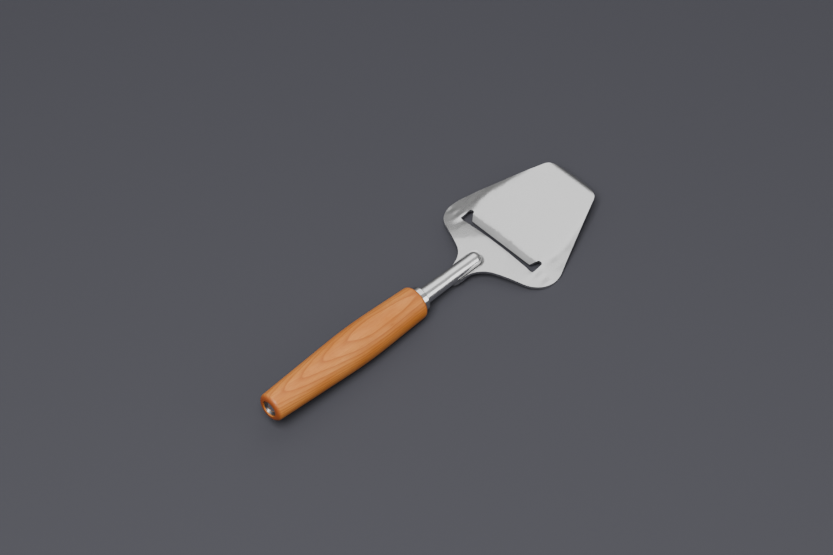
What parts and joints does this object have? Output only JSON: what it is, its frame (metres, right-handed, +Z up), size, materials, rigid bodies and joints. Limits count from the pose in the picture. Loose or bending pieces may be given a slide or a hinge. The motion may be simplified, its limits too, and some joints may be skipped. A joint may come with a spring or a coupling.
{
  "type": "cheese plane",
  "caption": "Cheese plane: a stamped steel head with a ground slot blade and turned-down wings, welded on a round stem, with a ferrule and a turned wooden handle.",
  "frame": {"origin": "centre of the footprint box, on the surface the tool rests on", "axes": "+X from the butt of the handle to the tip of the head, +Y to the left, +Z up"},
  "size_m": [0.2348, 0.0796, 0.024],
  "materials": {
    "head_steel": "fine satin stainless sheet",
    "stem_steel": "satin turned stainless bar",
    "ferrule_steel": "polished stainless ring",
    "handle_wood": "oiled fruit wood, silky",
    "washer_steel": "turned stainless washer"
  },
  "bodies": {
    "root": {"plane_head": "head_steel", "stem": "stem_steel", "ferrule": "ferrule_steel", "handle": "handle_wood", "butt_washer": "washer_steel"}
  },
  "joints": []
}
